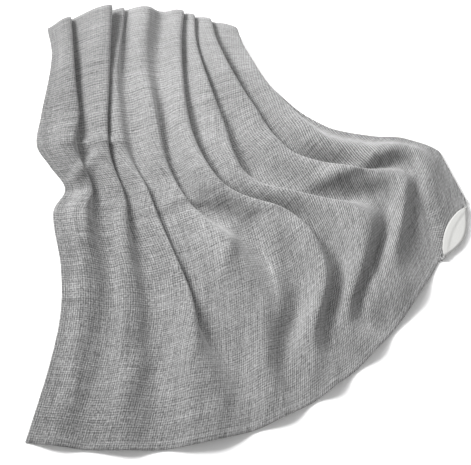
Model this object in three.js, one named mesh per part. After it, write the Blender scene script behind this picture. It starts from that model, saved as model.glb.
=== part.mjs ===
// Flannel fleece throw blanket, laid out on a flat surface: gathered at its head, fanned out to its hem,
// its side turned under along the upper right, and the right-hand end of the hem turned up over the cloth.
// Millimetres, +Z up. +Y points to the gathered head, and the cloth rests on z = 0.
import * as THREE from 'three';

// The cut panel
const CUT_WIDTH = 1520;
const CUT_LENGTH = 1270;
const THICKNESS = 3;
const HEM_WIDTH = 18;
const HEM_THICKNESS = 4.6;
const CLOTH_COLOUR = 0x9f9f9f;

// How the cloth lies: the turned side, and the slopes (in radians) and rising share of its folds
const SIDE_TURN_RADIUS = 4;
const LAYER_GAP = 1.3;
const LIFT_FADE = 80;
const FULL_FALL = 2.9;
const STEEPEST_FALL = 3.1;
const SOFT_RISE = 0.55;
const LEANING_RISE = [0.45, 0.95];
const SPARE_RANGE = [0.12, 0.45];
const GATHER_SWAY = 0.2;
const GATHER_PACE = 2.3;
const GATHER_SHIFT = 2.1;
const RIDGE_FADE = [-0.1, 0.3];

// Steps of the mesh: across each fold's rise and fall, in the turned side, and down the cloth
const FOLD_STEPS = { rise: 3, fall: 6 };
const LAST_FOLD_STEPS = { rise: 10, fall: 9 };
const STEP_PARTS = 12;
const TURN_STEPS = 4;
const UNDER_STEPS = 3;
const MAIN_ROWS = 22;
const END_ROWS = 10;
const END_SHARE = 0.065;

// Each section across the cloth, from the head down: its share of the cut length, where its left and right
// ends lie, how far its left edge is drawn in from there, how far it bows towards the hem between its ends,
// and how much of the cut is turned under at the right.
const SECTIONS = [
  { down: 0.0, left: [-541, 566], right: [-50, 563], drawn: 0, bow: -53, under: 470 },
  { down: 0.08, left: [-538, 482], right: [-24, 499], drawn: 10, bow: -33, under: 455 },
  { down: 0.22, left: [-535, 315], right: [53, 401], drawn: -21, bow: 8, under: 415 },
  { down: 0.29, left: [-533, 231], right: [95, 359], drawn: -32, bow: 41, under: 395 },
  { down: 0.35, left: [-530, 176], right: [132, 326], drawn: 0, bow: 60, under: 370 },
  { down: 0.41, left: [-525, 117], right: [178, 297], drawn: 37, bow: 76, under: 350 },
  { down: 0.475, left: [-519, 47], right: [228, 274], drawn: 0, bow: 92, under: 320 },
  { down: 0.6, left: [-510, -103], right: [331, 255], drawn: 13, bow: 141, under: 250 },
  { down: 0.7, left: [-509, -228], right: [416, 248], drawn: 13, bow: 190, under: 180 },
  { down: 0.84, left: [-525, -380], right: [517, 201], drawn: 0, bow: 234, under: 70 },
  { down: 1.0, left: [-584, -585], right: [574, 74], drawn: 0, bow: 280, under: 16 },
];

// Each fold, from left to right: how far along the section its right-hand edge lies, and its share of the
// section's spare cloth, at each of the stations down the cloth.
const STATIONS = [0, 0.15, 0.3, 0.45, 0.6, 0.75, 0.88, 1];
const FOLDS = [
  {
    edge: [0.1, 0.098, 0.135, 0.15, 0.15, 0.11, 0.1, 0.11],
    slack: [46, 44, 40, 28, 12, 6, 3, 2],
  },
  {
    edge: [0.3, 0.262, 0.22, 0.24, 0.24, 0.22, 0.22, 0.24],
    slack: [70, 64, 50, 35, 20, 14, 10, 3],
  },
  {
    edge: [0.4, 0.37, 0.345, 0.335, 0.32, 0.33, 0.385, 0.42],
    slack: [36, 8, 12, 42, 54, 48, 30, 4],
  },
  {
    edge: [0.62, 0.54, 0.47, 0.45, 0.55, 0.55, 0.48, 0.52],
    slack: [16, 8, 32, 34, 42, 32, 16, 3],
  },
  {
    edge: [0.7, 0.62, 0.55, 0.545, 0.67, 0.655, 0.58, 0.62],
    slack: [50, 62, 86, 92, 80, 44, 22, 4],
  },
  {
    edge: [0.775, 0.72, 0.7, 0.69, 0.76, 0.84, 0.665, 0.72],
    slack: [40, 50, 48, 44, 40, 32, 18, 4],
  },
  {
    edge: [0.86, 0.83, 0.845, 0.82, 0.868, 0.94, 0.85, 0.87],
    slack: [40, 60, 70, 64, 52, 24, 14, 3],
  },
  {
    edge: [1, 1, 1, 1, 1, 1, 1, 1],
    slack: [44, 38, 30, 26, 22, 12, 8, 2],
  },
];

// Soft ridges over the folds, each along a bent line through three places
const RIDGES = [
  { from: [-472, 240], via: [-392, 238], to: [-315, 242], height: 10, spread: 12 },
  { from: [-392, 217], via: [-430, 168], to: [-472, 125], height: 9, spread: 16 },
  { from: [-281, 217], via: [-215, -33], to: [-56, -368], height: 8, spread: 26 },
  { from: [-48, 31], via: [-45, -47], to: [-74, -173], height: 11, spread: 18 },
  { from: [42, 14], via: [72, -103], to: [117, -298], height: 10, spread: 24 },
  { from: [143, 114], via: [262, 153], to: [395, 217], height: 12, spread: 20 },
  { from: [432, 167], via: [421, 106], to: [368, 22], height: 12, spread: 20 },
  { from: [249, -20], via: [302, -81], to: [342, -228], height: 9, spread: 22 },
  { from: [-339, 172], via: [-334, -187], to: [-331, -540], height: 11, spread: 19 },
  { from: [-429, 106], via: [-440, -187], to: [-470, -520], height: 8, spread: 18 },
  { from: [-122, -120], via: [-146, -320], to: [-152, -540], height: 9, spread: 26 },
  { from: [32, -330], via: [43, -440], to: [40, -545], height: 7, spread: 24 },
];

// The right-hand end of the hem, turned up over the cloth
const CORNER_CUT = 215;
const CORNER_ENDS = [0.08, 0.93];
const CORNER_POINT = 1.25;
const ROLL_MOST = 0.6;
const ROLL_SETTLED = 0.6;
const ROLL_STEPPED = 0.3;
const CORNER_REACH = 33;
const CORNER_BACK = 20;
const CORNER_RADIUS = 5;
const CORNER_START = 0.82;
const CORNER_OUTWARD = new THREE.Vector3(0.85, -0.527, 0);
const CORNER_SINK = 0.03;
const CORNER_ROLL_ROWS = [0.63, 0.86];
const CORNER_FLATTEN = 0.85;
const FLAT_SHARES = [-0.6, 0.1];
const FLAT_ROWS = [0, 0.6];

const { clamp, lerp, mapLinear, smoothstep } = THREE.MathUtils;

// Smooth curve through the values at the given places
function blend(places, values, place) {
  let i = 0;
  while (i < places.length - 2 && place > places[i + 1]) i += 1;
  const slope = (k) => {
    const before = Math.max(k - 1, 0);
    const after = Math.min(k + 1, places.length - 1);
    return (values[after] - values[before]) / (places[after] - places[before]);
  };
  const span = places[i + 1] - places[i];
  const x = (place - places[i]) / span;
  const rest = 1 - x;
  return rest * rest * (1 + 2 * x) * values[i] + x * x * (3 - 2 * x) * values[i + 1]
    + span * x * rest * (rest * slope(i) - x * slope(i + 1));
}

const sectionPlaces = SECTIONS.map((section) => section.down);
const atSection = (pick, down) => blend(sectionPlaces, SECTIONS.map(pick), down);

// The line on the floor that a section follows, as a function from distance along it to a place
function railAt(down) {
  const left = new THREE.Vector2(atSection((s) => s.left[0], down), atSection((s) => s.left[1], down));
  const right = new THREE.Vector2(atSection((s) => s.right[0], down), atSection((s) => s.right[1], down));
  const bow = atSection((s) => s.bow, down);
  const chord = right.clone().sub(left);
  const outward = new THREE.Vector2(chord.y, -chord.x).normalize();
  const middle = left.clone().add(right).multiplyScalar(0.5).addScaledVector(outward, 2 * bow);
  const curve = new THREE.QuadraticBezierCurve(left, middle, right);
  const length = curve.getLength();
  return { curve, length };
}

function placeOnRail(rail, distance) {
  const share = clamp(distance / rail.length, 0, 1);
  const place = rail.curve.getPointAt(share);
  const tangent = rail.curve.getTangentAt(share);
  return place.addScaledVector(tangent, distance - share * rail.length);
}

// Mean advance and mean climb of a flank whose slope swings from flat to "swing" and back
const FLANK_SAMPLES = 24;
function flankMeans(swing) {
  let advance = 0;
  let climb = 0;
  for (let k = 0; k < FLANK_SAMPLES; k += 1) {
    const angle = swing * Math.sin(Math.PI * (k + 0.5) / FLANK_SAMPLES);
    advance += Math.cos(angle) / FLANK_SAMPLES;
    climb += Math.sin(angle) / FLANK_SAMPLES;
  }
  return { advance, climb };
}

const BISECT_STEPS = 40;
function bisect(low, high, isLow) {
  for (let k = 0; k < BISECT_STEPS; k += 1) {
    const middle = (low + high) / 2;
    if (isLow(middle)) low = middle;
    else high = middle;
  }
  return low;
}

// The shape of a fold that takes up its spare cloth and comes back to the floor: the share of its cloth that
// rises, and the swings of its rise and fall. A full fold leans and rolls over past upright to the right.
function foldShape(widthShare) {
  const riseSwing = (rise, fall) => {
    const climb = (1 - rise) * flankMeans(fall).climb / rise;
    return bisect(0, Math.PI / 2, (swing) => flankMeans(swing).climb < climb);
  };
  const widthFor = (rise, fall) => rise * flankMeans(riseSwing(rise, fall)).advance
    + (1 - rise) * flankMeans(fall).advance;
  const leaningRise = bisect(...LEANING_RISE, (rise) => widthFor(rise, FULL_FALL) < widthShare);
  const rise = lerp(SOFT_RISE, leaningRise, smoothstep(1 - widthShare, ...SPARE_RANGE));
  const down = bisect(0, STEEPEST_FALL, (fall) => widthFor(rise, fall) > widthShare);
  return { rise, up: riseSwing(rise, down), down };
}

// A section: for every column of the mesh, the distance along the rail and the height of the cloth's middle
function sectionAt(down) {
  const rail = railAt(down);
  const under = Math.max(atSection((s) => s.under, down), SECTIONS[SECTIONS.length - 1].under);
  const drawn = atSection((s) => s.drawn, down);
  const spare = CUT_WIDTH - under - (rail.length - drawn);
  const sway = (index) => Math.sin(2 * Math.PI * GATHER_PACE * down + GATHER_SHIFT * index);
  const slacks = FOLDS.map((fold, i) => blend(STATIONS, fold.slack, down) * (1 + GATHER_SWAY * sway(i)));
  const allSlacks = slacks.reduce((sum, slack) => sum + slack, 0);
  const points = [{ along: drawn, height: 0, cut: 0 }];
  let start = drawn;
  let cut = 0;
  FOLDS.forEach((fold, index) => {
    const width = rail.length * blend(STATIONS, fold.edge, down) - start;
    const cloth = width + spare * slacks[index] / allSlacks;
    const shape = foldShape(width / cloth);
    let along = start;
    let height = 0;
    const steps = index < FOLDS.length - 1 ? FOLD_STEPS : LAST_FOLD_STEPS;
    const flanks = [
      { swing: shape.up, cloth: shape.rise * cloth, steps: steps.rise },
      { swing: -shape.down, cloth: (1 - shape.rise) * cloth, steps: steps.fall },
    ];
    for (const flank of flanks) {
      const count = flank.steps * STEP_PARTS;
      const step = flank.cloth / count;
      for (let k = 0; k < count; k += 1) {
        const angle = flank.swing * Math.sin(Math.PI * (k + 0.5) / count);
        along += step * Math.cos(angle);
        height += step * Math.sin(angle);
        cut += step;
        if ((k + 1) % STEP_PARTS === 0) points.push({ along, height, cut });
      }
    }
    start += width;
  });
  return { rail, under, points };
}

// Adds the side that is turned under, and lifts what lies over it
function turnSideUnder(section) {
  const { rail, under, points } = section;
  const layerLift = HEM_THICKNESS + LAYER_GAP;
  const edgeLift = 2 * SIDE_TURN_RADIUS;
  for (const point of points) {
    const inside = point.along - (rail.length - under);
    point.lift = layerLift * smoothstep(inside, -LIFT_FADE, 0);
    point.lift += (edgeLift - layerLift) * smoothstep(point.along, rail.length - LIFT_FADE, rail.length);
    point.height += point.lift;
  }
  const { along, height, cut } = points[points.length - 1];
  for (let k = 1; k <= TURN_STEPS; k += 1) {
    const angle = Math.PI * k / TURN_STEPS;
    const lift = height - SIDE_TURN_RADIUS * (1 - Math.cos(angle));
    points.push({
      along: along + SIDE_TURN_RADIUS * Math.sin(angle), height: lift, lift, cut: cut + SIDE_TURN_RADIUS * angle,
    });
  }
  const arc = Math.PI * SIDE_TURN_RADIUS;
  for (let k = 1; k <= UNDER_STEPS; k += 1) {
    const run = (under - arc) * k / UNDER_STEPS;
    points.push({ along: along - run, height: 0, lift: 0, cut: cut + arc + run });
  }
}

// How strongly a ridge is felt at a place: it fades to its sides and towards its ends
const RIDGE_SAMPLES = 16;
function ridgeStrength(ridge, x, y) {
  let nearest = Infinity;
  let share = 0;
  for (let k = 0; k <= RIDGE_SAMPLES; k += 1) {
    const v = k / RIDGE_SAMPLES;
    const rest = 1 - v;
    const bend = (i) => 2 * ridge.via[i] - (ridge.from[i] + ridge.to[i]) / 2;
    const place = (i) => rest * rest * ridge.from[i] + 2 * v * rest * bend(i) + v * v * ridge.to[i];
    const distance = Math.hypot(x - place(0), y - place(1));
    if (distance < nearest) {
      nearest = distance;
      share = v;
    }
  }
  const ends = smoothstep(share, ...RIDGE_FADE) * smoothstep(1 - share, ...RIDGE_FADE);
  return ends * Math.exp(-((nearest / ridge.spread) ** 2));
}

// The cloth's middle surface, one row of points for each step down the cloth
function clothRow(down) {
  const section = sectionAt(down);
  turnSideUnder(section);
  const topColumns = section.points.length - TURN_STEPS - UNDER_STEPS;
  return section.points.map((point, column) => {
    const place = placeOnRail(section.rail, point.along);
    let height = point.height;
    if (column < topColumns) {
      for (const ridge of RIDGES) height += ridge.height * ridgeStrength(ridge, place.x, place.y);
    }
    return { place: new THREE.Vector3(place.x, place.y, height), cut: point.cut, lift: point.lift };
  });
}

// Turns the right-hand end of the hem up over the cloth: from a start above the hem, each line of cloth runs on
// past the hem's plain place, rolls over and comes back above itself.
function turnCornerUp(rows, rowDowns) {
  const start = clothRow(CORNER_START);
  const hem = clothRow(1);
  rows.forEach((row, rowIndex) => {
    const nearHem = (rowDowns[rowIndex] - CORNER_START) / (1 - CORNER_START);
    if (nearHem <= 0) return;
    row.forEach((point, column) => {
      const share = (hem[column].cut - (CUT_WIDTH - CORNER_CUT)) / CORNER_CUT;
      const flat = 1 - CORNER_FLATTEN * smoothstep(share, ...FLAT_SHARES) * smoothstep(nearHem, ...FLAT_ROWS);
      point.place.z = lerp(point.lift, point.place.z, flat);
      if (share <= 0) return;
      const [from, to] = CORNER_ENDS;
      const swell = Math.sin(Math.PI * clamp((share - from) / (to - from), 0, 1)) ** CORNER_POINT;
      const plain = start[column].place.distanceTo(hem[column].place);
      const extra = (2 * CORNER_REACH + CORNER_BACK + CORNER_RADIUS * (Math.PI - 2)) * swell;
      const rollStart = CORNER_REACH * swell - CORNER_RADIUS * smoothstep(swell, 0, ROLL_SETTLED);
      const rollEnd = rollStart + Math.min(Math.PI * CORNER_RADIUS, ROLL_MOST * (extra - rollStart));
      const [first, last] = CORNER_ROLL_ROWS;
      let stepped = mapLinear(nearHem, 0, first, 0, plain + rollStart);
      if (nearHem > first) stepped = mapLinear(nearHem, first, last, plain + rollStart, plain + rollEnd);
      if (nearHem > last) stepped = mapLinear(nearHem, last, 1, plain + rollEnd, plain + extra);
      const travelled = lerp(nearHem * (plain + extra), stepped, smoothstep(swell, 0, ROLL_STEPPED));
      const beyond = Math.max(travelled - plain, 0);
      const pathAt = (distance) => start[column].place.clone().lerp(hem[column].place, clamp(distance / plain, 0, 1));
      const path = pathAt(travelled);
      const rolled = Math.max(beyond - rollStart, 0);
      const angle = Math.min(rolled / CORNER_RADIUS, Math.PI);
      const back = Math.max(rolled - Math.PI * CORNER_RADIUS, 0);
      const reach = Math.min(beyond, rollStart) + CORNER_RADIUS * Math.sin(angle) - back;
      path.addScaledVector(CORNER_OUTWARD, reach);
      if (rolled > 0) path.z = pathAt(plain + reach).z;
      path.z = lerp(hem[column].lift, path.z, flat);
      path.z += CORNER_RADIUS * (1 - Math.cos(angle)) - back * CORNER_SINK;
      point.place.lerp(path, smoothstep(share, 0, from));
    });
  });
}

// Places of the mesh's rows, closer together near the hem
function rowPlaces() {
  const places = [];
  for (let k = 0; k < MAIN_ROWS; k += 1) places.push((1 - END_SHARE) * k / MAIN_ROWS);
  for (let k = 0; k <= END_ROWS; k += 1) places.push(1 - END_SHARE * (1 - k / END_ROWS));
  return places;
}

function buildBlanket() {
  const rowDowns = rowPlaces();
  const rows = rowDowns.map(clothRow);
  turnCornerUp(rows, rowDowns);
  const columnSteps = rows[0].length - 1;
  const rowSteps = rows.length - 1;
  const geometry = new THREE.BoxGeometry(columnSteps, rowSteps, 1, columnSteps, rowSteps, 1);
  const positions = geometry.attributes.position;
  const point = new THREE.Vector3();
  for (let k = 0; k < positions.count; k += 1) {
    const column = Math.round(positions.getX(k) + columnSteps / 2);
    const row = Math.round(rowSteps / 2 - positions.getY(k));
    const side = Math.sign(positions.getZ(k));
    const placeAt = (r, c) => rows[clamp(r, 0, rowSteps)][clamp(c, 0, columnSteps)].place.clone();
    const across = placeAt(row, column + 1).sub(placeAt(row, column - 1));
    const along = placeAt(row - 1, column).sub(placeAt(row + 1, column));
    const outward = across.cross(along).normalize();
    const inHem = Math.min(rowDowns[row], 1 - rowDowns[row]) * CUT_LENGTH < HEM_WIDTH;
    const thickness = inHem ? HEM_THICKNESS : THICKNESS;
    point.copy(placeAt(row, column));
    point.z += thickness / 2;
    point.addScaledVector(outward, side * thickness / 2);
    positions.setXYZ(k, point.x, point.y, point.z);
  }
  geometry.computeBoundingBox();
  const middle = geometry.boundingBox.getCenter(new THREE.Vector3());
  geometry.translate(-middle.x, -middle.y, -geometry.boundingBox.min.z);
  geometry.computeVertexNormals();
  const material = new THREE.MeshStandardMaterial({ color: CLOTH_COLOUR, roughness: 0.95, metalness: 0 });
  const mesh = new THREE.Mesh(geometry, material);
  mesh.name = 'blanket';
  return mesh;
}

const model = new THREE.Group();
model.add(buildBlanket());

export default model;
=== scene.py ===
"""Flannel fleece throw blanket: the cloth, its hem stitches and a plain studio, as an add-on script."""
import math
import bpy
import numpy as np
from bpy.props import FloatProperty, FloatVectorProperty, PointerProperty
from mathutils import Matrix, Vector


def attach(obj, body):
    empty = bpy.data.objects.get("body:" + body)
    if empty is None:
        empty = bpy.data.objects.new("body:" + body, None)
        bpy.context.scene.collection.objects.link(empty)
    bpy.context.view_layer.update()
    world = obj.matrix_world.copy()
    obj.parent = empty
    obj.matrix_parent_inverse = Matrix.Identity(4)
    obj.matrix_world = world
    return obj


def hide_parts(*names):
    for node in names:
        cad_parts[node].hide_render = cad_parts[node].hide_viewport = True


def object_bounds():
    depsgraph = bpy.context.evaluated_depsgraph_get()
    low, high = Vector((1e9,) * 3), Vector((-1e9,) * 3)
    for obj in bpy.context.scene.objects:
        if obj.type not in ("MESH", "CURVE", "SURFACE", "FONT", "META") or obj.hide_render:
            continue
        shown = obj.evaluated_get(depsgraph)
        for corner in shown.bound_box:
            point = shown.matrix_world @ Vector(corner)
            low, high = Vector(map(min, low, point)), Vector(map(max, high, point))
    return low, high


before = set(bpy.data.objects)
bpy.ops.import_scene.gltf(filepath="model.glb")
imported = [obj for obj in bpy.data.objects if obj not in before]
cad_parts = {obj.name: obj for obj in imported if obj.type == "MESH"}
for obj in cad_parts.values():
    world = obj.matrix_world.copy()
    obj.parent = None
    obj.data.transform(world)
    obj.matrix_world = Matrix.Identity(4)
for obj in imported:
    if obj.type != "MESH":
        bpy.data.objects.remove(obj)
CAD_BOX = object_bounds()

bl_info = {
    "name": "Fleece throw blanket",
    "version": (1, 0, 0),
    "blender": (4, 5, 0),
    "location": "3D View > Sidebar > Blanket",
    "description": "Lays out a flannel fleece throw with its hem, folds and turned-up corner",
    "category": "Object",
}

# The cut panel. Lengths here are in millimetres, unless a comment says metres.
CUT_WIDTH = 1520.0
CUT_LENGTH = 1270.0
MM = 0.001

# The turned hem: its full height, how far past the stitches it thins to one layer, how deep and how wide
# the stitches press the cloth, how far in from its edge the cloth is rounded, and how much thinner it is
# there, as a share
HEM_HEIGHT = 4.6
HEM_FADE = 3.0
PRESS_DEPTH = 1.1
PRESS_WIDTH = 2.2
EDGE_ROUND = 2.2
EDGE_LOSS = 0.35

# The side turned under: the radius of its turn, the gap between the layers, and the distance over which
# the cloth above rises to lie on it
SIDE_TURN_RADIUS = 4.0
LAYER_GAP = 1.3
LIFT_FADE = 80.0

# The shape of a fold: the steepest that it falls, in radians and so past upright, and how much further that
# is looked for; the share of its cloth that rises in a soft fold, and where the share of a leaning one is
# looked for; the shares of spare cloth over which a fold goes from soft to leaning; and the widths, as
# shares of their cloth, for which shapes are worked out
FULL_FALL = 2.9
FALL_ROOM = 0.2
SOFT_RISE = 0.55
RISE_SEARCH = (0.45, 0.95)
SPARE_RANGE = (0.12, 0.45)
WIDTH_SHARES = (0.2, 1.0)

# How much each fold's spare cloth comes and goes down the cloth, how many times, and how far each fold is
# out of step with the one before it, in radians
GATHER_SWAY = 0.2
SWAY_TURNS = 2.3
SWAY_LAG = 2.1

# Steps of the mesh: across each fold's rise and fall, in the side turned under, and down the cloth, where
# the rows in the last share before the hem lie closer together
RISE_STEPS = 9
FALL_STEPS = 15
LAST_RISE_STEPS = 20
LAST_FALL_STEPS = 22
TURN_STEPS = 8
UNDER_STEPS = 10
MAIN_ROWS = 150
END_ROWS = 44
END_SHARE = 0.065

# Finer steps from which curves are added up, measured or searched, and the largest swing of a slope that
# they cover
STEP_PARTS = 6
RAIL_POINTS = 401
RIDGE_POINTS = 49
SWING_STEPS = 630
MOST_SWING = 3.14
FLANK_PARTS = 48
SHAPE_STEPS = 161
SEARCH_STEPS = 30
TINY = 1e-9

# Each section across the cloth, from the head down: its share of the cut length, where its left and right
# ends lie, how far its left edge is drawn in from there, how far it bows towards the hem between its ends,
# and how much of the cut is turned under at the right
SECTIONS = [
    {"down": 0.0, "left": (-541, 566), "right": (-50, 563), "drawn": 0, "bow": -53, "under": 470},
    {"down": 0.08, "left": (-538, 482), "right": (-24, 499), "drawn": 10, "bow": -33, "under": 455},
    {"down": 0.22, "left": (-535, 315), "right": (53, 401), "drawn": -21, "bow": 8, "under": 415},
    {"down": 0.29, "left": (-533, 231), "right": (95, 359), "drawn": -32, "bow": 41, "under": 395},
    {"down": 0.35, "left": (-530, 176), "right": (132, 326), "drawn": 0, "bow": 60, "under": 370},
    {"down": 0.41, "left": (-525, 117), "right": (178, 297), "drawn": 37, "bow": 76, "under": 350},
    {"down": 0.475, "left": (-519, 47), "right": (228, 274), "drawn": 0, "bow": 92, "under": 320},
    {"down": 0.6, "left": (-510, -103), "right": (331, 255), "drawn": 13, "bow": 141, "under": 250},
    {"down": 0.7, "left": (-509, -228), "right": (416, 248), "drawn": 13, "bow": 190, "under": 180},
    {"down": 0.84, "left": (-525, -380), "right": (517, 201), "drawn": 0, "bow": 234, "under": 70},
    {"down": 1.0, "left": (-584, -585), "right": (574, 74), "drawn": 0, "bow": 280, "under": 16},
]

# Each fold, from left to right: how far along the section its right-hand edge lies, and its part of the
# section's spare cloth, at each of the stations down the cloth
STATIONS = (0, 0.15, 0.3, 0.45, 0.6, 0.75, 0.88, 1)
FOLDS = [
    {
        "edge": (0.1, 0.098, 0.135, 0.15, 0.15, 0.11, 0.1, 0.11),
        "slack": (46, 44, 40, 28, 12, 6, 3, 2),
    },
    {
        "edge": (0.3, 0.262, 0.22, 0.24, 0.24, 0.22, 0.22, 0.24),
        "slack": (70, 64, 50, 35, 20, 14, 10, 3),
    },
    {
        "edge": (0.4, 0.37, 0.345, 0.335, 0.32, 0.33, 0.385, 0.42),
        "slack": (36, 8, 12, 42, 54, 48, 30, 4),
    },
    {
        "edge": (0.62, 0.54, 0.47, 0.45, 0.55, 0.55, 0.48, 0.52),
        "slack": (16, 8, 32, 34, 42, 32, 16, 3),
    },
    {
        "edge": (0.7, 0.62, 0.55, 0.545, 0.67, 0.655, 0.58, 0.62),
        "slack": (50, 62, 86, 92, 80, 44, 22, 4),
    },
    {
        "edge": (0.775, 0.72, 0.7, 0.69, 0.76, 0.84, 0.665, 0.72),
        "slack": (40, 50, 48, 44, 40, 32, 18, 4),
    },
    {
        "edge": (0.86, 0.83, 0.845, 0.82, 0.868, 0.94, 0.85, 0.87),
        "slack": (40, 60, 70, 64, 52, 24, 14, 3),
    },
    {
        "edge": (1, 1, 1, 1, 1, 1, 1, 1),
        "slack": (44, 38, 30, 26, 22, 12, 8, 2),
    },
]

# Soft ridges over the folds, each along a bent line through three places. They fade out towards both ends
# of the line, over this range of its length.
RIDGE_FADE = (-0.1, 0.3)
RIDGES = [
    {"from": (-472, 240), "via": (-392, 238), "to": (-315, 242), "height": 10, "spread": 12},
    {"from": (-392, 217), "via": (-430, 168), "to": (-472, 125), "height": 9, "spread": 16},
    {"from": (-281, 217), "via": (-215, -33), "to": (-56, -368), "height": 8, "spread": 26},
    {"from": (-48, 31), "via": (-45, -47), "to": (-74, -173), "height": 11, "spread": 18},
    {"from": (42, 14), "via": (72, -103), "to": (117, -298), "height": 10, "spread": 24},
    {"from": (143, 114), "via": (262, 153), "to": (395, 217), "height": 12, "spread": 20},
    {"from": (432, 167), "via": (421, 106), "to": (368, 22), "height": 12, "spread": 20},
    {"from": (249, -20), "via": (302, -81), "to": (342, -228), "height": 9, "spread": 22},
    {"from": (-339, 172), "via": (-334, -187), "to": (-331, -540), "height": 11, "spread": 19},
    {"from": (-429, 106), "via": (-440, -187), "to": (-470, -520), "height": 8, "spread": 18},
    {"from": (-122, -120), "via": (-146, -320), "to": (-152, -540), "height": 9, "spread": 26},
    {"from": (32, -330), "via": (43, -440), "to": (40, -545), "height": 7, "spread": 24},
]

# Crisp creases, each along a bent line, with a steep side and a gentle side: "left" and "right" are how
# wide the crease is on either hand as one goes along it
CREASES = [
    {"from": (-556, 237), "via": (-440, 240), "to": (-305, 231), "height": 4, "left": 9, "right": 34},
    {"from": (-395, 220), "via": (-440, 170), "to": (-488, 117), "height": 7, "left": 30, "right": 9},
    {"from": (-305, 231), "via": (-249, 58), "to": (-114, -270), "height": 6, "left": 34, "right": 9},
    {"from": (-262, 40), "via": (-135, 74), "to": (-36, 40), "height": 10, "left": 50, "right": 10},
    {"from": (-58, 40), "via": (-80, -81), "to": (-53, -262), "height": 9, "left": 34, "right": 9},
    {"from": (29, 57), "via": (64, -70), "to": (85, -332), "height": 9, "left": 34, "right": 9},
    {"from": (143, 45), "via": (196, -81), "to": (231, -400), "height": 7, "left": 10, "right": 34},
    {"from": (395, 226), "via": (281, 153), "to": (143, 100), "height": 7, "left": 12, "right": 34},
    {"from": (456, 203), "via": (403, 22), "to": (318, -125), "height": 6, "left": 32, "right": 9},
    {"from": (318, -105), "via": (302, -187), "to": (344, -294), "height": 8, "left": 30, "right": 9},
    {"from": (42, 203), "via": (143, 58), "to": (281, -47), "height": 7, "left": 10, "right": 32},
    {"from": (-20, 30), "via": (60, 55), "to": (150, 40), "height": 8, "left": 44, "right": 12},
]

# The right-hand end of the hem, turned up over the cloth: how much of the cut it takes, where in that it
# begins and ends, how pointed it is, how far the cloth reaches out and comes back, the radius of its roll,
# where down the cloth it starts, which way is outward, and how much it sinks as it comes back
CORNER_CUT = 215.0
CORNER_ENDS = (0.08, 0.93)
CORNER_POINT = 1.25
CORNER_REACH = 33.0
CORNER_BACK = 20.0
CORNER_RADIUS = 5.0
CORNER_START = 0.82
CORNER_OUTWARD = np.array([0.85, -0.527, 0.0])
CORNER_SINK = 0.03

# The rows of the mesh that make the roll, the most of the corner's extra cloth that it takes, and how large
# the corner has to be, as a share, for the roll to be tight and settled
CORNER_ROLL_ROWS = (0.63, 0.86)
ROLL_MOST = 0.6
ROLL_TIGHT = 0.6
ROLL_SETTLE = 0.3

# How much the folds are flattened under the turned corner, and over what range across and down the cloth
CORNER_FLATTEN = 0.85
FLATTEN_ACROSS = (-0.6, 0.1)
FLATTEN_DOWN = (0, 0.6)

# Small rumples that a hand leaves in the cloth: how many waves, their height, their lengths across and down
# the cloth, and how far in from the sides they begin and are full
RUMPLES = 46
RUMPLE_SEED = 7
RUMPLE_HEIGHT = 1.5
RUMPLE_ACROSS = (70.0, 240.0)
RUMPLE_DOWN = (160.0, 700.0)
RUMPLE_EDGE = (5, 60)

# The print's threads, as streaks of noise: their sizes across and down the cloth in thread pitches, how far
# the noise is shifted, how much they count, and which threads they belong to
PRINT_STREAKS = [
    {"across": 1, "down": 3, "shift": 0.0, "weight": 0.9, "threads": "warp"},
    {"across": 3, "down": 1, "shift": 3.1, "weight": 0.9, "threads": "weft"},
    {"across": 1, "down": 16, "shift": 1.3, "weight": 0.6, "threads": "warp"},
    {"across": 24, "down": 1, "shift": 4.9, "weight": 0.75, "threads": "weft"},
    {"across": 1 / 1.2, "down": 1 / 1.2, "shift": 6.7, "weight": 0.4, "threads": "both"},
    {"across": 1 / 0.6, "down": 40, "shift": 5.3, "weight": 0.2, "threads": "warp"},
    {"across": 50, "down": 1 / 0.65, "shift": 8.9, "weight": 0.45, "threads": "weft"},
    {"across": 5, "down": 90, "shift": 2.6, "weight": 0.3, "threads": "warp"},
    {"across": 120, "down": 5, "shift": 7.4, "weight": 0.3, "threads": "weft"},
]

# How the print changes over the cut, in metres from its left side (X) or its head (Y): the strength of its
# warp, its weft and its ribs, its depth, and the painted shade that darkens the whole face towards the left
PRINT_RAMPS = {
    "warp": {"axis": "Y", "from": (0.25, 0.85), "to": (0.7, 1.3)},
    "weft": {"axis": "Y", "from": (0.25, 0.85), "to": (1.3, 0.85)},
    "ribs": {"axis": "X", "from": (0.6, 1.1), "to": (1.0, 2.2)},
    "depth": {"axis": "Y", "from": (0.0, 0.6), "to": (0.42, 1.0)},
    "shade": {"axis": "X", "from": (0.0, 0.5), "to": (0.67, 1.0)},
}
SHIFT_DOWN = 0.7
RIB_WEIGHT = 0.17
PATCH_WEIGHT = 0.2
NAP_RELIEF = 0.5
SHADE_LIMITS = (0.3, 2.0)

# Tufts of nap in a metre, across and down the cloth, on either side, and how far the reverse and the thread
# go from their darkest by their grain
FACE_NAP = (900, 620)
REVERSE_NAP = (650, 420)
REVERSE_DARKEST = 0.9
REVERSE_GRAIN = 0.1
THREAD_DARKEST = 0.85
THREAD_GRAIN = 0.3

# One stitch of thread: how far along the stitch each of its four rings lies, and how high, in thread radii,
# the sides of a ring, and in metres the shortest stitch that is made
STITCH_RINGS = ((0.06, -0.6), (0.25, 0.55), (0.75, 0.55), (0.94, -0.6))
THREAD_SIDES = 6
SHORTEST_STITCH = 1e-6

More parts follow.
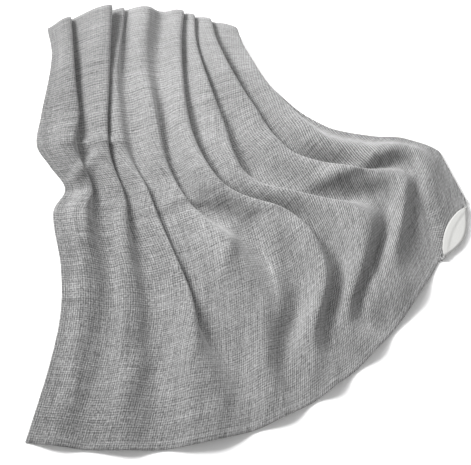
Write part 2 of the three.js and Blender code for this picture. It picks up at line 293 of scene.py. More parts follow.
# The studio, in metres and watts: the floor, the light from all round and the softboxes
FLOOR_SIZE = 30
FLOOR_DROP = 0.0005
DAYLIGHT = 0.4
SOFTBOXES = [
    {"name": "key_softbox", "place": (-2.6, 1.9, 2.5), "aim": (0, 0, 0), "side": 1.6, "power": 305},
    {"name": "head_softbox", "place": (0.05, 0.75, 1.0), "aim": (0.05, 0.3, 0), "side": 0.6, "power": 8},
    {"name": "fill_softbox", "place": (2.4, -1.4, 2.2), "aim": (0.3, 0, 0), "side": 1.6, "power": 14},
]

# The camera sees the plan at 2.65 mm a pixel, 471 pixels wide, from far away and 72 degrees above the floor
VIEW_WIDTH = 471 * 2.65 * MM
CAMERA_DISTANCE = 12.0
CAMERA_ELEVATION = 72
CAMERA_AIM = (-0.0329, -0.0123, 0)
SENSOR_WIDTH = 36
CLIP_END = 60


def hex_to_linear(code):
    """An sRGB hex colour such as b0b0b0 as three linear values."""
    values = [int(code[i:i + 2], 16) / 255 for i in (0, 2, 4)]
    return tuple(v / 12.92 if v <= 0.04045 else ((v + 0.055) / 1.055) ** 2.4 for v in values)


def soft_step(x, low, high):
    """Goes smoothly from 0 at low to 1 at high."""
    t = np.clip((x - low) / (high - low), 0, 1)
    return t * t * (3 - 2 * t)


def blend(places, values, place):
    """Smooth curve through the values at the given places."""
    i = 0
    while i < len(places) - 2 and place > places[i + 1]:
        i += 1

    def slope(k):
        before, after = max(k - 1, 0), min(k + 1, len(places) - 1)
        return (values[after] - values[before]) / (places[after] - places[before])

    span = places[i + 1] - places[i]
    x = (place - places[i]) / span
    rest = 1 - x
    ends = rest * rest * (1 + 2 * x) * values[i] + x * x * (3 - 2 * x) * values[i + 1]
    return ends + span * x * rest * (rest * slope(i) - x * slope(i + 1))


SECTION_PLACES = [section["down"] for section in SECTIONS]


def at_section(name, down, axis=None):
    """A value of the sections' table at any share of the cut length."""
    values = [section[name] if axis is None else section[name][axis] for section in SECTIONS]
    return blend(SECTION_PLACES, values, down)


class Rail:
    """The line on the floor that a section of the cloth follows."""

    def __init__(self, down):
        left = np.array([at_section("left", down, 0), at_section("left", down, 1)])
        right = np.array([at_section("right", down, 0), at_section("right", down, 1)])
        chord = right - left
        outward = np.array([chord[1], -chord[0]]) / np.hypot(*chord)
        middle = (left + right) / 2 + 2 * at_section("bow", down) * outward
        t = np.linspace(0, 1, RAIL_POINTS)[:, None]
        self.points = (1 - t) ** 2 * left + 2 * t * (1 - t) * middle + t ** 2 * right
        steps = np.linalg.norm(np.diff(self.points, axis=0), axis=1)
        self.run = np.concatenate([[0], np.cumsum(steps)])
        self.length = self.run[-1]
        self.start = (self.points[1] - self.points[0]) / steps[0]
        self.end = (self.points[-1] - self.points[-2]) / steps[-1]

    def place(self, along):
        """Places on the floor at distances along the rail, straight on past its ends."""
        inside = np.clip(along, 0, self.length)
        xy = np.stack([np.interp(inside, self.run, self.points[:, k]) for k in (0, 1)], axis=-1)
        past = (along - inside)[:, None]
        return xy + np.where(past > 0, past * self.end, past * self.start)


# Mean advance and mean climb of a flank whose slope swings from flat to "swing" and back
SWINGS = np.linspace(0, MOST_SWING, SWING_STEPS)
FLANK_PLACES = np.sin(np.pi * (np.arange(FLANK_PARTS) + 0.5) / FLANK_PARTS)
FLANK_ANGLES = SWINGS[:, None] * FLANK_PLACES
ADVANCE = np.cos(FLANK_ANGLES).mean(axis=1)
CLIMB = np.sin(FLANK_ANGLES).mean(axis=1)
UPRIGHT = SWINGS <= math.pi / 2


def rise_swing(rise, fall):
    """The swing of a fold's rise that climbs as high as its fall comes down."""
    climb = (1 - rise) * np.interp(fall, SWINGS, CLIMB) / rise
    return float(np.interp(climb, CLIMB[UPRIGHT], SWINGS[UPRIGHT]))


def fold_width(rise, fall):
    """The width of a fold on the floor, as a share of its cloth."""
    up = np.interp(rise_swing(rise, fall), SWINGS, ADVANCE)
    return rise * up + (1 - rise) * np.interp(fall, SWINGS, ADVANCE)


def bisect(low, high, is_low):
    """The value between low and high up to which is_low holds."""
    for _ in range(SEARCH_STEPS):
        middle = (low + high) / 2
        if is_low(middle):
            low = middle
        else:
            high = middle
    return low


def fold_shape(width_share):
    """The shape of a fold that takes up its spare cloth and comes back to the floor: the share of its cloth
    that rises, and the swings of its rise and fall."""
    leaning_rise = bisect(*RISE_SEARCH, lambda rise: fold_width(rise, FULL_FALL) < width_share)
    mix = float(soft_step(1 - width_share, *SPARE_RANGE))
    rise = SOFT_RISE + (leaning_rise - SOFT_RISE) * mix
    fall = bisect(0, FULL_FALL + FALL_ROOM, lambda value: fold_width(rise, value) > width_share)
    return rise, rise_swing(rise, fall), fall


SHARES = np.linspace(*WIDTH_SHARES, SHAPE_STEPS)
SHAPES = np.array([fold_shape(share) for share in SHARES])


def sway(index, down):
    """How a fold's spare cloth comes and goes down the cloth, between -1 and 1."""
    return math.sin(2 * math.pi * SWAY_TURNS * down + SWAY_LAG * index)


def section_at(down):
    """A section: the distance along the rail, the height of the cloth's middle and the place in the cut."""
    rail = Rail(down)
    under = max(at_section("under", down), SECTIONS[-1]["under"])
    drawn = at_section("drawn", down)
    spare = CUT_WIDTH - under - (rail.length - drawn)
    slacks = np.array([
        blend(STATIONS, fold["slack"], down) * (1 + GATHER_SWAY * sway(i, down))
        for i, fold in enumerate(FOLDS)
    ])
    along, height, cut = [drawn], [0.0], [0.0]
    start = drawn
    for index, fold in enumerate(FOLDS):
        width = rail.length * blend(STATIONS, fold["edge"], down) - start
        cloth = width + spare * slacks[index] / slacks.sum()
        rise, up, fall = (
            float(np.interp(width / cloth, SHARES, SHAPES[:, k])) for k in range(3)
        )
        last = index == len(FOLDS) - 1
        rises, falls = (LAST_RISE_STEPS, LAST_FALL_STEPS) if last else (RISE_STEPS, FALL_STEPS)
        flanks = [(up, rise * cloth, rises), (-fall, (1 - rise) * cloth, falls)]
        a, h = [0.0], [0.0]
        for swing, length, steps in flanks:
            parts = steps * STEP_PARTS
            angles = swing * np.sin(np.pi * (np.arange(parts) + 0.5) / parts)
            step = length / parts
            a.extend(a[-1] + np.cumsum(np.cos(angles) * step)[STEP_PARTS - 1::STEP_PARTS])
            h.extend(h[-1] + np.cumsum(np.sin(angles) * step)[STEP_PARTS - 1::STEP_PARTS])
        share = np.linspace(0, 1, len(a))
        a = np.array(a) + (width - a[-1]) * share
        h = np.array(h) - h[-1] * share
        rising, falling = np.linspace(0, rise, rises + 1), np.linspace(rise, 1, falls + 1)
        run = np.concatenate([rising, falling[1:]]) * cloth
        along.extend(start + a[1:])
        height.extend(h[1:])
        cut.extend(cut[-1] + run[1:])
        start += width
    return rail, under, np.array(along), np.array(height), np.array(cut)


def ridge_height(x, y):
    """Height that the soft ridges and the crisp creases add at places on the floor."""
    total = np.zeros_like(x)
    v = np.linspace(0, 1, RIDGE_POINTS)[:, None]
    for ridge in RIDGES + CREASES:
        start, via, end = (np.array(ridge[k], float) for k in ("from", "via", "to"))
        bend = 2 * via - (start + end) / 2
        line = (1 - v) ** 2 * start + 2 * v * (1 - v) * bend + v ** 2 * end
        heading = 2 * (1 - v) * (bend - start) + 2 * v * (end - bend)
        off = np.stack([x[:, None] - line[:, 0], y[:, None] - line[:, 1]], axis=-1)
        away = np.hypot(off[:, :, 0], off[:, :, 1])
        near = np.argmin(away, axis=1)
        share = v[near, 0]
        off = off[np.arange(len(x)), near]
        on_left = heading[near, 0] * off[:, 1] - heading[near, 1] * off[:, 0] > 0
        if "spread" in ridge:
            width = ridge["spread"]
        else:
            width = np.where(on_left, ridge["left"], ridge["right"])
        ends = soft_step(share, *RIDGE_FADE) * soft_step(1 - share, *RIDGE_FADE)
        total += ridge["height"] * ends * np.exp(-((away.min(axis=1) / width) ** 2))
    return total


def rumple(cut, down):
    """Small uneven waves over the cut panel, between 0 and about 2."""
    rng = np.random.default_rng(RUMPLE_SEED)
    total = np.zeros(np.broadcast(cut, down).shape)
    for _ in range(RUMPLES):
        across = rng.choice([-1, 1]) / rng.uniform(*RUMPLE_ACROSS)
        along = 1 / rng.uniform(*RUMPLE_DOWN)
        waves = across * cut + along * down * CUT_LENGTH
        total += np.sin(2 * np.pi * waves + rng.uniform(0, 2 * np.pi))
    return 1 + total / math.sqrt(RUMPLES)


def cloth_row(down):
    """The cloth's middle surface at one step down the cloth, with the side turned under it: its places, how
    far each is lifted off what lies below, and where each is in the cut."""
    rail, under, along, height, cut = section_at(down)
    layer_lift = HEM_HEIGHT + LAYER_GAP
    edge_lift = 2 * SIDE_TURN_RADIUS
    lift = layer_lift * soft_step(along - (rail.length - under), -LIFT_FADE, 0)
    lift = lift + (edge_lift - layer_lift) * soft_step(along, rail.length - LIFT_FADE, rail.length)
    place = rail.place(along)
    top = height + lift + ridge_height(place[:, 0], place[:, 1])
    near_side = np.minimum(cut, cut[-1] - cut)
    top = top + RUMPLE_HEIGHT * rumple(cut, down) * soft_step(near_side, *RUMPLE_EDGE)
    angle = np.pi * np.arange(1, TURN_STEPS + 1) / TURN_STEPS
    turn_along = along[-1] + SIDE_TURN_RADIUS * np.sin(angle)
    turn_height = top[-1] - SIDE_TURN_RADIUS * (1 - np.cos(angle)) * top[-1] / edge_lift
    arc = math.pi * SIDE_TURN_RADIUS
    run = (under - arc) * np.arange(1, UNDER_STEPS + 1) / UNDER_STEPS
    all_along = np.concatenate([along, turn_along, along[-1] - run])
    z = np.concatenate([top, turn_height, np.zeros(UNDER_STEPS)])
    lifts = np.concatenate([lift, turn_height, np.zeros(UNDER_STEPS)])
    cuts = np.concatenate([cut, cut[-1] + SIDE_TURN_RADIUS * angle, cut[-1] + arc + run])
    xy = rail.place(all_along)
    return np.column_stack([xy, z]), lifts, cuts


def between(start, end, share):
    """The place a share of the way from start to end, and never past either."""
    return start + (end - start) * min(max(share, 0), 1)


def turn_corner_up(rows, lifts, cuts, downs):
    """Turns the right-hand end of the hem up over the cloth: each line of cloth runs on past the hem's
    plain place, rolls over and comes back above itself. The places in the cut follow."""
    start, _, start_cut = cloth_row(CORNER_START)
    hem, hem_lift, hem_cut = cloth_row(1.0)
    share = (hem_cut - (CUT_WIDTH - CORNER_CUT)) / CORNER_CUT
    first, last = CORNER_ROLL_ROWS
    low, high = CORNER_ENDS
    for row in range(len(rows)):
        near_hem = (downs[row, 0] - CORNER_START) / (1 - CORNER_START)
        if near_hem <= 0:
            continue
        flat = 1 - (
            CORNER_FLATTEN * soft_step(share, *FLATTEN_ACROSS) * soft_step(near_hem, *FLATTEN_DOWN)
        )
        rows[row, :, 2] = lifts[row] + (rows[row, :, 2] - lifts[row]) * flat
        for column in np.nonzero(share > 0)[0]:
            across = min(max((share[column] - low) / (high - low), 0), 1)
            swell = max(math.sin(math.pi * across), 0) ** CORNER_POINT
            plain = np.linalg.norm(hem[column] - start[column])
            extra = (2 * CORNER_REACH + CORNER_BACK + CORNER_RADIUS * (math.pi - 2)) * swell
            roll_start = CORNER_REACH * swell - CORNER_RADIUS * float(soft_step(swell, 0, ROLL_TIGHT))
            roll_end = roll_start + min(math.pi * CORNER_RADIUS, ROLL_MOST * (extra - roll_start))
            stepped = np.interp(
                near_hem, [0, first, last, 1], [0, plain + roll_start, plain + roll_end, plain + extra],
            )
            mix = float(soft_step(swell, 0, ROLL_SETTLE))
            travelled = near_hem * (plain + extra) * (1 - mix) + stepped * mix
            beyond = max(travelled - plain, 0)
            path = between(start[column], hem[column], travelled / plain)
            rolled = max(beyond - roll_start, 0)
            angle = min(rolled / CORNER_RADIUS, math.pi)
            back = max(rolled - math.pi * CORNER_RADIUS, 0)
            reach = min(beyond, roll_start) + CORNER_RADIUS * math.sin(angle) - back
            path = path + CORNER_OUTWARD * reach
            if rolled > 0:
                path[2] = between(start[column], hem[column], (plain + reach) / plain)[2]
            path[2] = hem_lift[column] + (path[2] - hem_lift[column]) * flat[column]
            path[2] += CORNER_RADIUS * (1 - math.cos(angle)) - back * CORNER_SINK
            weight = float(soft_step(share[column], 0, low))
            rows[row, column] += (path - rows[row, column]) * weight
            way = travelled / (plain + extra)
            cut = start_cut[column] + (hem_cut[column] - start_cut[column]) * way
            cuts[row, column] += (cut - cuts[row, column]) * weight
            downs[row, column] += (CORNER_START + (1 - CORNER_START) * way - downs[row, column]) * weight


def row_places():
    """Places of the mesh's rows, closer together near the hem."""
    main = (1 - END_SHARE) * np.arange(MAIN_ROWS) / MAIN_ROWS
    end = 1 - END_SHARE * (1 - np.arange(END_ROWS + 1) / END_ROWS)
    return np.concatenate([main, end])


def cloth_surface():
    """The cloth's middle surface as rows of places, with each place's position in the cut."""
    places = row_places()
    made = [cloth_row(down) for down in places]
    rows = np.array([m[0] for m in made])
    lifts = np.array([m[1] for m in made])
    cuts = np.array([m[2] for m in made])
    downs = np.repeat(places[:, None], cuts.shape[1], axis=1)
    turn_corner_up(rows, lifts, cuts, downs)
    return rows, cuts, downs


def surface_normals(rows):
    """The direction off the cloth's upper side at every place."""
    across = np.empty_like(rows)
    across[:, 1:-1] = rows[:, 2:] - rows[:, :-2]
    across[:, 0] = rows[:, 1] - rows[:, 0]
    across[:, -1] = rows[:, -1] - rows[:, -2]
    along = np.empty_like(rows)
    along[1:-1] = rows[:-2] - rows[2:]
    along[0] = rows[0] - rows[1]
    along[-1] = rows[-2] - rows[-1]
    normals = np.cross(across, along)
    return normals / np.maximum(np.linalg.norm(normals, axis=2, keepdims=True), TINY)


def cloth_thickness(cuts, downs, body, hem_width, hem_extra):
    """Thickness over the cut: full in the turned hem, pressed down along the stitches, thin at the edge."""
    down = downs * CUT_LENGTH
    edge = np.minimum(np.minimum(cuts, CUT_WIDTH - cuts), np.minimum(down, CUT_LENGTH - down))
    hem = hem_extra * soft_step(hem_width + HEM_FADE - edge, 0, HEM_FADE)
    pressed = PRESS_DEPTH * np.exp(-((edge - hem_width) / PRESS_WIDTH) ** 2)
    rounded = 1 - EDGE_LOSS * (1 - soft_step(edge, 0, EDGE_ROUND))
    return (body + hem - pressed) * rounded


def add_node(tree, kind, inputs=None, **settings):
    """Adds a node, with its settings, and its inputs as values or as links from other nodes' outputs."""
    node = tree.nodes.new(kind)
    for name, value in settings.items():
        setattr(node, name, value)
    for name, value in (inputs or {}).items():
        if isinstance(value, bpy.types.NodeSocket):
            tree.links.new(value, node.inputs[name])
        else:
            node.inputs[name].default_value = value
    return node


def new_material(name):
    """A material of that name with an empty node tree, and the tree."""
    material = bpy.data.materials.new(name)
    material.use_nodes = True
    material.node_tree.nodes.clear()
    return material, material.node_tree


def finish_material(tree, colour, normal, sockets):
    """Ends the tree in a surface of that colour and relief."""
    shader = add_node(
        tree, "ShaderNodeBsdfPrincipled", {"Base Color": colour, "Normal": normal, **sockets},
    )
    add_node(tree, "ShaderNodeOutputMaterial", {"Surface": shader.outputs["BSDF"]})


def stretched(tree, uv, across, down, shift=0.0):
    """The cut's coordinates, scaled to so many repeats a metre across and down the cloth, and shifted."""
    scaled = add_node(tree, "ShaderNodeVectorMath", {0: uv, 1: (across, down, 1)}, operation="MULTIPLY")
    moved = add_node(
        tree, "ShaderNodeVectorMath", {0: scaled.outputs[0], 1: (shift, shift * SHIFT_DOWN, 0)},
        operation="ADD",
    )
    return moved.outputs[0]


def printed_fleece(settings):
    """Flannel fleece, brushed polyester, printed with a grey linen-look weave. The print gives the eye
    crossed light and dark threads of uneven thickness, and the short nap a soft edge of light on turned
    folds."""
    material, tree = new_material("printed_flannel_fleece")
    uv = add_node(tree, "ShaderNodeUVMap", uv_map="cut").outputs["UV"]
    place = add_node(tree, "ShaderNodeSeparateXYZ", {"Vector": uv})
    levels = {"both": 1.0}
    for name, ramp in PRINT_RAMPS.items():
        (low, high), (first, last) = ramp["from"], ramp["to"]
        levels[name] = add_node(
            tree, "ShaderNodeMapRange",
            {
                "Value": place.outputs[ramp["axis"]],
                "From Min": low, "From Max": high, "To Min": first, "To Max": last,
            },
        ).outputs["Result"]
    # Printed threads are about 1 mm wide, and are drawn about 2.6 mm wide so that they show in the render
    threads = 0.0
    for streak in PRINT_STREAKS:
        across, down = (1 / (settings.thread_pitch * streak[k]) for k in ("across", "down"))
        noise = add_node(
            tree, "ShaderNodeTexNoise",
            {
                "Vector": stretched(tree, uv, across, down, streak["shift"]),
                "Scale": 1.0, "Detail": 1.0, "Roughness": 0.5,
            },
            noise_dimensions="2D",
        )
        level = add_node(tree, "ShaderNodeMath", {0: noise.outputs["Fac"], 1: 0.5}, operation="SUBTRACT")
        shared = add_node(
            tree, "ShaderNodeMath", {0: level.outputs[0], 1: levels[streak["threads"]]},
            operation="MULTIPLY",
        )
        threads = add_node(
            tree, "ShaderNodeMath", {0: shared.outputs[0], 1: streak["weight"], 2: threads},
            operation="MULTIPLY_ADD",
        ).outputs[0]
    # Ribs of a linen weave are about 2 mm apart, and are drawn 6.4 mm apart so that they show
    warp_ribs = add_node(
        tree, "ShaderNodeMath", {0: levels["warp"], 1: levels["ribs"]}, operation="MULTIPLY",
    )
    for axis, level in (("X", warp_ribs.outputs[0]), ("Y", levels["weft"])):
        turns = add_node(
            tree, "ShaderNodeMath", {0: place.outputs[axis], 1: 2 * math.pi / settings.rib_pitch},
            operation="MULTIPLY",
        )
        wave = add_node(tree, "ShaderNodeMath", {0: turns.outputs[0]}, operation="SINE")
        shared = add_node(tree, "ShaderNodeMath", {0: wave.outputs[0], 1: level}, operation="MULTIPLY")
        threads = add_node(
            tree, "ShaderNodeMath", {0: shared.outputs[0], 1: RIB_WEIGHT, 2: threads},
            operation="MULTIPLY_ADD",
        ).outputs[0]
    # Nap brushed one way and the other in hand-sized patches
    patches = add_node(
        tree, "ShaderNodeTexNoise", {"Vector": uv, "Scale": 7.0, "Detail": 3.0, "Roughness": 0.55},
        noise_dimensions="2D",
    )
    patch = add_node(tree, "ShaderNodeMath", {0: patches.outputs["Fac"], 1: 0.5}, operation="SUBTRACT")
    drawn = add_node(tree, "ShaderNodeMath", {0: threads, 1: levels["depth"]}, operation="MULTIPLY")
    shade = add_node(
        tree, "ShaderNodeMath", {0: patch.outputs[0], 1: PATCH_WEIGHT, 2: drawn.outputs[0]},
        operation="MULTIPLY_ADD",
    )
    # Painted shade: the shade ramp darkens the face colour towards the left of the cut, down to two thirds
    # at the edge
    wide = add_node(
        tree, "ShaderNodeMath", {0: shade.outputs[0], 1: settings.weave_contrast, 2: levels["shade"]},
        operation="MULTIPLY_ADD",
    )
    lowest, highest = SHADE_LIMITS
    tone_with_painted_shade = add_node(tree, "ShaderNodeClamp", {"Value": wide.outputs[0], "Min": lowest, "Max": highest})
    colour = add_node(
        tree, "ShaderNodeVectorMath", {0: tuple(settings.face_colour), 3: tone_with_painted_shade.outputs["Result"]},
        operation="SCALE",
    )
    nap = add_node(
        tree, "ShaderNodeTexNoise",
        {"Vector": stretched(tree, uv, *FACE_NAP), "Scale": 1.0, "Detail": 3.0, "Roughness": 0.65},
        noise_dimensions="2D",
    )
    relief = add_node(
        tree, "ShaderNodeMath", {0: nap.outputs["Fac"], 1: NAP_RELIEF, 2: threads},
        operation="MULTIPLY_ADD",
    )
    bump = add_node(
        tree, "ShaderNodeBump", {"Height": relief.outputs[0], "Strength": 0.55, "Distance": 0.0009},
    )
    finish_material(
        tree, colour.outputs[0], bump.outputs["Normal"],
        {"Roughness": 0.93, "Specular IOR Level": 0.2, "Sheen Weight": 0.35, "Sheen Roughness": 0.6},
    )
    return material


def plain_fleece(settings):
    """The unprinted side of the same brushed polyester: pale, with the nap's soft grain."""
    material, tree = new_material("plain_flannel_fleece")
    uv = add_node(tree, "ShaderNodeUVMap", uv_map="cut").outputs["UV"]
    # Nap tufts are about 1.5 mm across and 2.4 mm long
    nap = add_node(
        tree, "ShaderNodeTexNoise",
        {"Vector": stretched(tree, uv, *REVERSE_NAP), "Scale": 1.0, "Detail": 3.0, "Roughness": 0.6},
        noise_dimensions="2D",
    )
    patches = add_node(
        tree, "ShaderNodeTexNoise", {"Vector": uv, "Scale": 11.0, "Detail": 2.0, "Roughness": 0.5},
        noise_dimensions="2D",
    )
    shade = REVERSE_DARKEST
    for grain in (nap, patches):
        shade = add_node(
            tree, "ShaderNodeMath", {0: grain.outputs["Fac"], 1: REVERSE_GRAIN, 2: shade},
            operation="MULTIPLY_ADD",
        ).outputs[0]
    colour = add_node(
        tree, "ShaderNodeVectorMath", {0: tuple(settings.reverse_colour), 3: shade}, operation="SCALE",
    )
    bump = add_node(
        tree, "ShaderNodeBump", {"Height": nap.outputs["Fac"], "Strength": 0.5, "Distance": 0.0009},
    )
    finish_material(
        tree, colour.outputs[0], bump.outputs["Normal"],
        {"Roughness": 0.95, "Specular IOR Level": 0.2, "Sheen Weight": 0.4, "Sheen Roughness": 0.6},
    )
    return material


def sewing_thread(settings):
    """Spun polyester sewing thread: two plies twisted together, with a slight shine."""
    material, tree = new_material("spun_polyester_thread")
    place = add_node(tree, "ShaderNodeTexCoord").outputs["Object"]
    # Plies repeat every 0.8 mm along the thread
    twist = add_node(
        tree, "ShaderNodeTexNoise", {"Vector": place, "Scale": 1250.0, "Detail": 1.0, "Roughness": 0.5},
    )
    shade = add_node(
        tree, "ShaderNodeMath", {0: twist.outputs["Fac"], 1: THREAD_GRAIN, 2: THREAD_DARKEST},
        operation="MULTIPLY_ADD",
    )
    colour = add_node(
        tree, "ShaderNodeVectorMath", {0: tuple(settings.thread_colour), 3: shade.outputs[0]},
        operation="SCALE",
    )
    bump = add_node(
        tree, "ShaderNodeBump", {"Height": twist.outputs["Fac"], "Strength": 0.4, "Distance": 0.0002},
    )
    finish_material(
        tree, colour.outputs[0], bump.outputs["Normal"],
        {"Roughness": 0.6, "Specular IOR Level": 0.4, "Sheen Weight": 0.2},
    )
    return material


def set_smooth(mesh):
    """Shades the mesh smooth."""
    mesh.polygons.foreach_set("use_smooth", [True] * len(mesh.polygons))
    mesh.update()


def mesh_object(name, places, faces):
    """A new object in the scene, at the origin, with a mesh of those places and faces."""
    mesh = bpy.data.meshes.new(name)
    mesh.from_pydata([tuple(p) for p in places], [], [tuple(f) for f in faces])
    mesh.update()
    piece = bpy.data.objects.new(name, mesh)
    bpy.context.scene.collection.objects.link(piece)
    return piece


def seam_line(across, along, at, face, normals):
    """Where a seam runs on the printed face. Each line of the mesh that crosses it gives how far along the
    cut it lies, its place and the direction off the cloth."""
    found = [
        [np.interp(at, across[k], values) for values in (along[k], *face[k].T, *normals[k].T)]
        for k in range(len(across))
    ]
    found = np.array(found)
    return np.maximum.accumulate(found[:, 0]), found[:, 1:4], found[:, 4:7]


def white_paper():
    """Matt white background paper, with a faint grain."""
    material, tree = new_material("matt_white_paper")
    place = add_node(tree, "ShaderNodeTexCoord").outputs["Object"]
    grain = add_node(tree, "ShaderNodeTexNoise", {"Vector": place, "Scale": 400.0, "Detail": 2.0})
    bump = add_node(
        tree, "ShaderNodeBump", {"Height": grain.outputs["Fac"], "Strength": 0.05, "Distance": 0.0002},
    )
    finish_material(tree, (*hex_to_linear("fafafa"), 1), bump.outputs["Normal"], {"Roughness": 0.9})
    return material


def aim_from(place, aim, thing):
    """Puts a lamp or the camera in the scene at a place, turned towards another."""
    thing.location = place
    thing.rotation_euler = (Vector(aim) - thing.location).to_track_quat("-Z", "Y").to_euler()
    bpy.context.scene.collection.objects.link(thing)


# The cloth as it was last laid, kept so that the stitches can follow it
LAID = {}


class BLANKET_OT_lay_cloth(bpy.types.Operator):
    """Lays out the fleece as one closed sheet with its printed face, plain reverse and turned hem"""

    bl_idname = "blanket.lay_cloth"
    bl_label = "Lay the fleece"

    def execute(self, context):
        settings = context.scene.blanket
        bpy.ops.object.select_all(action="DESELECT")
        rows, cuts, downs = cloth_surface()
        normals = surface_normals(rows)
        thickness = cloth_thickness(
            cuts, downs, settings.thickness / MM, settings.hem_width / MM, settings.hem_extra / MM,
        )
        middle = rows + np.array([0, 0, 1.0]) * thickness[:, :, None] / 2
        face = middle + normals * thickness[:, :, None] / 2
        reverse = middle - normals * thickness[:, :, None] / 2
        low, high = (np.array(corner) / MM for corner in CAD_BOX)
        both = np.concatenate([face.reshape(-1, 3), reverse.reshape(-1, 3)])
        shift = (low + high) / 2 - (both.min(axis=0) + both.max(axis=0)) / 2
        shift[2] = -both[:, 2].min()
        face, reverse = (face + shift) * MM, (reverse + shift) * MM
        count_down, count_across = cuts.shape
        index = np.arange(count_down * count_across).reshape(count_down, count_across)
        quads = np.stack([index[1:, :-1], index[1:, 1:], index[:-1, 1:], index[:-1, :-1]], axis=-1)
        quads = quads.reshape(-1, 4)
        rim = np.concatenate([index[0, :-1], index[:-1, -1], index[-1, :0:-1], index[:0:-1, 0]])
        after = np.roll(rim, -1)
        rim_quads = np.stack([rim, after, after + index.size, rim + index.size], axis=-1)
        faces = np.concatenate([quads, quads[:, ::-1] + index.size, rim_quads])
        places = np.concatenate([face.reshape(-1, 3), reverse.reshape(-1, 3)])
        piece = mesh_object("fleece_throw", places, faces)
        mesh = piece.data
        layer = mesh.uv_layers.new(name="cut")
        flat = np.stack([cuts, downs * CUT_LENGTH], axis=-1).reshape(-1, 2) * MM
        flat = np.concatenate([flat, flat])
        corners = np.empty(len(mesh.loops), dtype=np.int32)
        mesh.loops.foreach_get("vertex_index", corners)
        layer.data.foreach_set("uv", flat[corners].ravel())
        mesh.materials.append(printed_fleece(settings))
        mesh.materials.append(plain_fleece(settings))
        slots = np.zeros(len(faces), dtype=np.int32)
        slots[len(quads):2 * len(quads)] = 1
        mesh.polygons.foreach_set("material_index", slots)
        set_smooth(mesh)
        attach(piece, "root")
        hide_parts("blanket")
        LAID.update(face=face, normals=normals, cuts=cuts, downs=downs, piece=piece)
        return {"FINISHED"}


class BLANKET_OT_sew_hem(bpy.types.Operator):
    """Sews the hem down with a row of lockstitches along the sides that show"""

    bl_idname = "blanket.sew_hem"
    bl_label = "Sew the hem"

    def execute(self, context):
        settings = context.scene.blanket
        if "piece" not in LAID:
            raise RuntimeError("the fleece is laid before its hem is sewn")
        bpy.ops.object.select_all(action="DESELECT")
        face, normals, cuts, downs = (LAID[k] for k in ("face", "normals", "cuts", "downs"))
        inset = settings.hem_width / MM
        radius = settings.thread_width / 2
        places, faces = [], []

        def sew(line, start, end):
            distance, line_places, line_ups = line
            count = int((end - start) / (settings.stitch_length / MM))
            for k in range(count):
                spots = []
                for share, rise in STITCH_RINGS:
                    at = start + (end - start) * (k + share) / count
                    place = np.array([np.interp(at, distance, line_places[:, i]) for i in range(3)])
                    up = np.array([np.interp(at, distance, line_ups[:, i]) for i in range(3)])
                    up /= np.linalg.norm(up)
                    spots.append((place + up * radius * rise, up))
                forward = spots[-1][0] - spots[0][0]
                size = np.linalg.norm(forward)
                if size < SHORTEST_STITCH:
                    continue
                side = np.cross(forward / size, spots[1][1])
                side /= np.linalg.norm(side)
                first = len(places)
                for place, up in spots:
                    for turn in range(THREAD_SIDES):
                        angle = 2 * math.pi * turn / THREAD_SIDES
                        places.append(place + radius * (math.cos(angle) * side + math.sin(angle) * up))
                last = first + THREAD_SIDES * (len(spots) - 1)
                for ring in range(first, last, THREAD_SIDES):
                    for turn in range(THREAD_SIDES):
                        a, b = ring + turn, ring + (turn + 1) % THREAD_SIDES
                        faces.append((a, a + THREAD_SIDES, b + THREAD_SIDES, b))
                faces.append(tuple(first + t for t in range(THREAD_SIDES)))
                faces.append(tuple(last + t for t in reversed(range(THREAD_SIDES))))

        down = downs * CUT_LENGTH
        turned = (face.transpose(1, 0, 2), normals.transpose(1, 0, 2))
        left, right = inset, CUT_WIDTH - inset
        head, hem = inset, CUT_LENGTH - inset
        sew(seam_line(down.T, cuts.T, hem, *turned), left, right)
        sew(seam_line(cuts, down, left, face, normals), head, hem)
        sew(seam_line(down.T, cuts.T, head, *turned), left, right)
        piece = mesh_object("hem_stitches", places, faces)
        piece.data.materials.append(sewing_thread(settings))
        set_smooth(piece.data)
        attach(piece, "root")
        return {"FINISHED"}


class BLANKET_OT_set_stage(bpy.types.Operator):
    """Sets the pale floor, the soft studio lights and the camera"""

    bl_idname = "blanket.set_stage"
    bl_label = "Set the studio"

    def execute(self, context):
        scene = context.scene
        bpy.ops.object.select_all(action="DESELECT")
        bpy.ops.mesh.primitive_plane_add(size=FLOOR_SIZE, location=(0, 0, -FLOOR_DROP))
        floor = context.object
        floor.name = "studio_floor"
        floor.data.materials.append(white_paper())
        for box in SOFTBOXES:
            lamp = bpy.data.lights.new(box["name"], "AREA")
            lamp.shape = "RECTANGLE"
            lamp.size = lamp.size_y = box["side"]
            lamp.energy = box["power"]
            aim_from(box["place"], box["aim"], bpy.data.objects.new(box["name"], lamp))
        world = bpy.data.worlds.new("studio")
        world.use_nodes = True
        background = world.node_tree.nodes["Background"]
        background.inputs["Color"].default_value = (1, 1, 1, 1)
        background.inputs["Strength"].default_value = DAYLIGHT
        scene.world = world
        scene.view_settings.view_transform = "Standard"
        data = bpy.data.cameras.new("camera")
        data.sensor_width = SENSOR_WIDTH
        data.lens = SENSOR_WIDTH * CAMERA_DISTANCE / VIEW_WIDTH
        data.clip_end = CLIP_END
        camera = bpy.data.objects.new("camera", data)
        elevation = math.radians(CAMERA_ELEVATION)
        towards = Vector((0, -math.cos(elevation), math.sin(elevation)))
        aim_from(Vector(CAMERA_AIM) + CAMERA_DISTANCE * towards, CAMERA_AIM, camera)
        scene.camera = camera
        return {"FINISHED"}


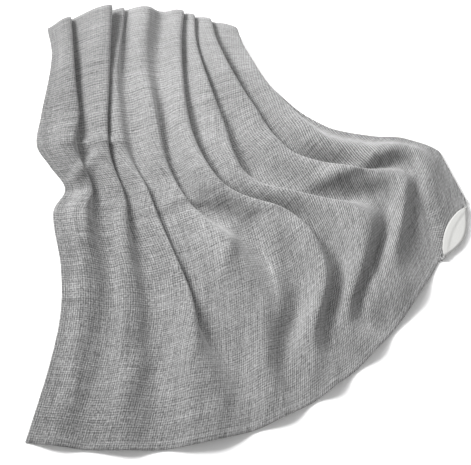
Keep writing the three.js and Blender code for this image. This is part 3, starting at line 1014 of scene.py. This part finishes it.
class BlanketSettings(bpy.types.PropertyGroup):
    """Sizes and colours of the throw"""

    thickness: FloatProperty(
        name="Cloth thickness", description="Thickness of one layer of fleece",
        default=0.003, min=0.001, max=0.005, subtype="DISTANCE", unit="LENGTH", precision=4,
    )
    hem_width: FloatProperty(
        name="Hem width", description="Distance from the edge to the row of stitches",
        default=0.018, min=0.008, max=0.04, subtype="DISTANCE", unit="LENGTH", precision=4,
    )
    hem_extra: FloatProperty(
        name="Hem fullness", description="How much thicker the turned hem is than one layer",
        default=0.0016, min=0.0, max=0.003, subtype="DISTANCE", unit="LENGTH", precision=4,
    )
    thread_pitch: FloatProperty(
        name="Printed thread pitch", description="Distance between the threads drawn in the print",
        default=0.0026, min=0.001, max=0.01, subtype="DISTANCE", unit="LENGTH", precision=4,
    )
    rib_pitch: FloatProperty(
        name="Printed rib pitch", description="Distance between the ribs drawn in the print",
        default=0.0064, min=0.002, max=0.02, subtype="DISTANCE", unit="LENGTH", precision=4,
    )
    weave_contrast: FloatProperty(
        name="Weave contrast", description="How strongly light and dark threads differ",
        default=1.15, min=0.0, max=4.0, subtype="FACTOR",
    )
    stitch_length: FloatProperty(
        name="Stitch length", description="Length of one lockstitch",
        default=0.0042, min=0.002, max=0.008, subtype="DISTANCE", unit="LENGTH", precision=4,
    )
    thread_width: FloatProperty(
        name="Thread width", description="Thickness of the sewing thread",
        default=0.0007, min=0.0003, max=0.0015, subtype="DISTANCE", unit="LENGTH", precision=4,
    )
    face_colour: FloatVectorProperty(
        name="Face colour", description="Middle grey of the printed face", size=3, subtype="COLOR",
        default=hex_to_linear("777777"), min=0.0, max=1.0,
    )
    reverse_colour: FloatVectorProperty(
        name="Reverse colour", description="Pale grey of the unprinted side", size=3, subtype="COLOR",
        default=hex_to_linear("b0b0ae"), min=0.0, max=1.0,
    )
    thread_colour: FloatVectorProperty(
        name="Thread colour", description="Grey of the sewing thread", size=3, subtype="COLOR",
        default=hex_to_linear("8f8f8f"), min=0.0, max=1.0,
    )


class BLANKET_PT_panel(bpy.types.Panel):
    """Lists the blanket's sizes, colours and steps"""

    bl_label = "Fleece throw"
    bl_idname = "BLANKET_PT_panel"
    bl_space_type = "VIEW_3D"
    bl_region_type = "UI"
    bl_category = "Blanket"

    def draw(self, context):
        settings = context.scene.blanket
        for name in settings.__annotations__:
            self.layout.prop(settings, name)
        for step in STEPS:
            self.layout.operator(step.bl_idname)


STEPS = (BLANKET_OT_set_stage, BLANKET_OT_lay_cloth, BLANKET_OT_sew_hem)
CLASSES = (BlanketSettings, *STEPS, BLANKET_PT_panel)


def register():
    for made in CLASSES:
        bpy.utils.register_class(made)
    bpy.types.Scene.blanket = PointerProperty(type=BlanketSettings)


def unregister():
    del bpy.types.Scene.blanket
    for made in reversed(CLASSES):
        bpy.utils.unregister_class(made)


def main():
    register()
    bpy.ops.blanket.set_stage()
    bpy.ops.blanket.lay_cloth()
    bpy.ops.blanket.sew_hem()
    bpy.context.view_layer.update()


if __name__ == "__main__":
    main()
